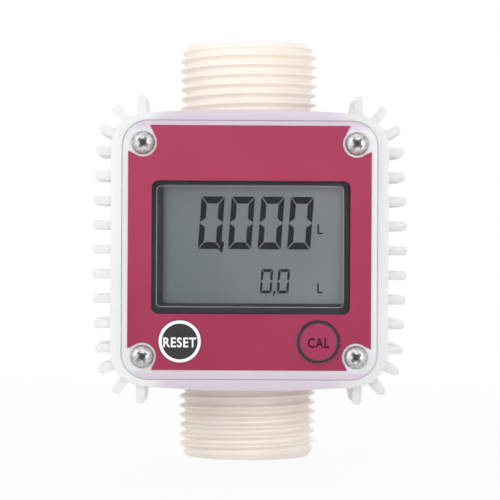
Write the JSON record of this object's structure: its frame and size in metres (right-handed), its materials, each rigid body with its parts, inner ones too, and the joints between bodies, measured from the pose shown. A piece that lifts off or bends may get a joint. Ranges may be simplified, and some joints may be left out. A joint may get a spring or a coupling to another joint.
{
  "type": "turbine flow meter",
  "caption": "In-line turbine flow meter: pipe body with male thread spigots, square display head with keys, finned protective boot and a helical-bladed rotor in the bore.",
  "frame": {"origin": "centre of the inlet end face, on the flow axis", "axes": "+Z along the flow axis from inlet to outlet, -Y out of the display face, +X to the right of someone reading the display"},
  "size_m": [0.072, 0.0548, 0.1],
  "materials": {
    "body": "satin moulded acetal",
    "boot": "translucent satin elastomer",
    "cover": "clear polished polycarbonate",
    "gasket": "matt silicone",
    "steel": "bright stainless",
    "label": "satin polyester film",
    "black_plastic": "satin",
    "display": "polished with a reflective back",
    "elastomer": "matt",
    "board": "solder mask over glass epoxy",
    "chip": "matt epoxy",
    "reed_glass": "clear",
    "cell": "gloss sleeve",
    "insert": "satin acetal",
    "bearing": "turned",
    "rotor": "satin acetal",
    "magnet": "nickel plated",
    "reset_key": "satin",
    "cal_key": "satin",
    "actuator": "satin"
  },
  "bodies": {
    "meter": {"meter_body": "body", "protective_boot": "boot", "front_cover": "cover", "cover_gasket": "gasket", "cover_screws": "steel", "face_label": "label", "display_holder": "black_plastic", "display_panel": "display", "upper_contact_strip": "elastomer", "lower_contact_strip": "elastomer", "circuit_board": "board", "controller_chip": "chip", "clock_crystal": "steel", "reed_switch": "reed_glass", "reset_switch": "chip", "cal_switch": "chip", "left_cell": "cell", "right_cell": "cell", "left_cell_tray": "black_plastic", "right_cell_tray": "black_plastic", "cell_contacts": "steel", "inlet_guide": "insert", "outlet_guide": "insert", "inlet_bearing": "bearing", "outlet_bearing": "bearing"},
    "rotor": {"turbine_rotor": "rotor", "rotor_shaft": "steel", "rotor_magnets": "magnet"},
    "reset_button": {"reset_key": "reset_key", "reset_actuator": "actuator"},
    "cal_button": {"cal_key": "cal_key", "cal_actuator": "actuator"}
  },
  "joints": [
    {"name": "rotor_spin", "type": "hinge", "parent": "meter", "child": "rotor", "pos_m": [0, 0, 0.05], "axis": [0, 0, 1], "continuous": true},
    {"name": "reset_press", "type": "slide", "parent": "meter", "child": "reset_button", "axis": [0, 1, 0], "range_m": [0, 0.00035], "stiffness_N_per_m": 3000},
    {"name": "cal_press", "type": "slide", "parent": "meter", "child": "cal_button", "axis": [0, 1, 0], "range_m": [0, 0.00035], "stiffness_N_per_m": 3000}
  ]
}
